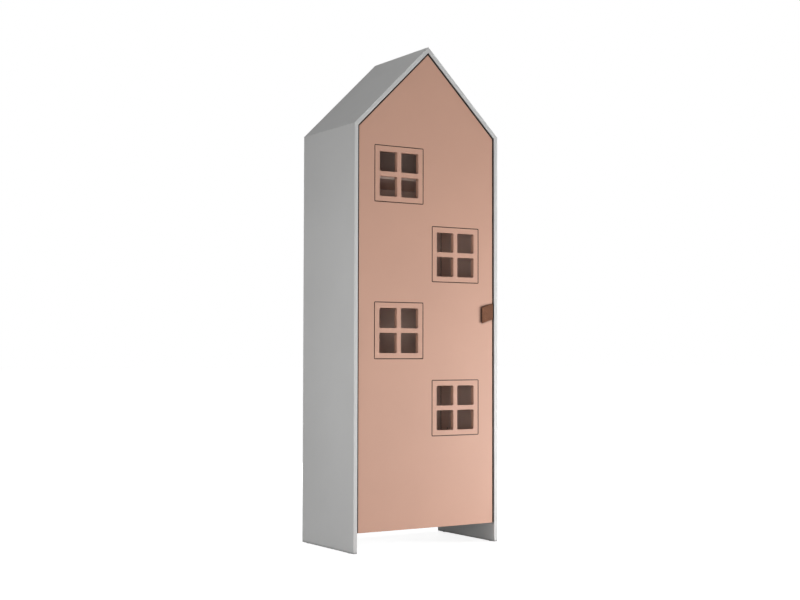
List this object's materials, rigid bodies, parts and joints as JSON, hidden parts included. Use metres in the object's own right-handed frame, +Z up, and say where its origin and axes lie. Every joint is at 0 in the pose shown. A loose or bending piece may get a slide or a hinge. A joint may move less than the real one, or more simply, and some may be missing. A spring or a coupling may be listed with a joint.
{
  "type": "child's wardrobe",
  "caption": "Tall house-shaped child's wardrobe with a gabled roof, one inset hinged door with open paned windows and a leather pull, shelves and a clothes rail inside.",
  "frame": {"origin": "on the floor, under the middle of the carcass's width and depth", "axes": "+Z up, +X to the right as seen from the front, +Y from the door towards the back panel"},
  "size_m": [0.576, 0.3745, 1.715],
  "materials": {
    "shell_lacquer": "satin pale grey-white lacquer, the door's pink on the faces inside",
    "back_board": "matt lacquer, the door's pink inside and pale grey behind",
    "shelf_lacquer": "satin lacquer in the door's pink",
    "dowel_beech": "unfinished fluted beech",
    "zinc_steel": "bright zinc plate",
    "cam_zinc": "die-cast zinc",
    "bracket_steel": "pressed zinc-plated steel",
    "rail_chrome": "polished chrome plate",
    "hinge_nickel": "nickel plate",
    "catch_plastic": "fine-textured white plastic",
    "magnet_steel": "dull grey",
    "bumper_rubber": "soft translucent white",
    "glide_plastic": "smooth white plastic",
    "door_lacquer": "satin powder-pink lacquer",
    "tan_leather": "vegetable-tanned tan leather with cut edges"
  },
  "bodies": {
    "carcass": {"side_panel_left": "shell_lacquer", "side_panel_right": "shell_lacquer", "roof_panel_left": "shell_lacquer", "roof_panel_right": "shell_lacquer", "back_panel": "back_board", "bottom_board": "shelf_lacquer", "middle_shelf": "shelf_lacquer", "top_shelf": "shelf_lacquer", "adjustable_shelf": "shelf_lacquer", "shelf_pins": "zinc_steel", "cam_locks": "cam_zinc", "cam_bolts": "zinc_steel", "dowels": "dowel_beech", "back_panel_screws": "zinc_steel", "eaves_brackets_left": "bracket_steel", "eaves_brackets_right": "bracket_steel", "ridge_brackets": "bracket_steel", "bracket_screws": "zinc_steel", "clothes_rail": "rail_chrome", "rail_flange_left": "rail_chrome", "rail_flange_right": "rail_chrome", "rail_flange_screws": "zinc_steel", "wall_brackets": "bracket_steel", "wall_bracket_screws": "zinc_steel", "floor_glides": "glide_plastic", "hinge_plate_top": "hinge_nickel", "hinge_plate_middle": "hinge_nickel", "hinge_plate_bottom": "hinge_nickel", "hinge_arm_top": "hinge_nickel", "hinge_arm_middle": "hinge_nickel", "hinge_arm_bottom": "hinge_nickel", "hinge_arm_pins": "zinc_steel", "hinge_plate_screws": "zinc_steel", "hinge_arm_screws": "zinc_steel", "magnet_catch": "catch_plastic", "catch_magnet": "magnet_steel", "catch_screws": "zinc_steel", "door_bumpers": "bumper_rubber"},
    "hinge_links": {"hinge_link_top": "hinge_nickel", "hinge_link_middle": "hinge_nickel", "hinge_link_bottom": "hinge_nickel"},
    "door": {"door_leaf": "door_lacquer", "hinge_cup_top": "hinge_nickel", "hinge_cup_middle": "hinge_nickel", "hinge_cup_bottom": "hinge_nickel", "hinge_cup_pins": "zinc_steel", "hinge_cup_screws": "zinc_steel", "pull_strap": "tan_leather", "pull_plate": "bracket_steel", "pull_screws": "zinc_steel", "strike_plate": "bracket_steel", "strike_screw": "zinc_steel"},
    "pull_flap": {"pull_flap": "tan_leather"}
  },
  "joints": [
    {"name": "hinge_link_swing", "type": "hinge", "parent": "carcass", "child": "hinge_links", "pos_m": [-0.23, -0.157, 0.744], "axis": [0, 0, 1], "range_deg": [0, 40]},
    {"name": "door_swing", "type": "hinge", "parent": "hinge_links", "child": "door", "pos_m": [-0.258, -0.169, 0.744], "axis": [0, 0, -1], "range_deg": [0, 145]},
    {"name": "pull_flap_swing", "type": "hinge", "parent": "door", "child": "pull_flap", "pos_m": [0.2701, -0.1832, 0.809], "axis": [0, 0, 1], "range_deg": [0, 80], "stiffness_Nm_per_rad": 0.02}
  ],
  "couplings": [
    {"joint": "hinge_link_swing", "follows": "door_swing", "ratio": 0.2758}
  ]
}
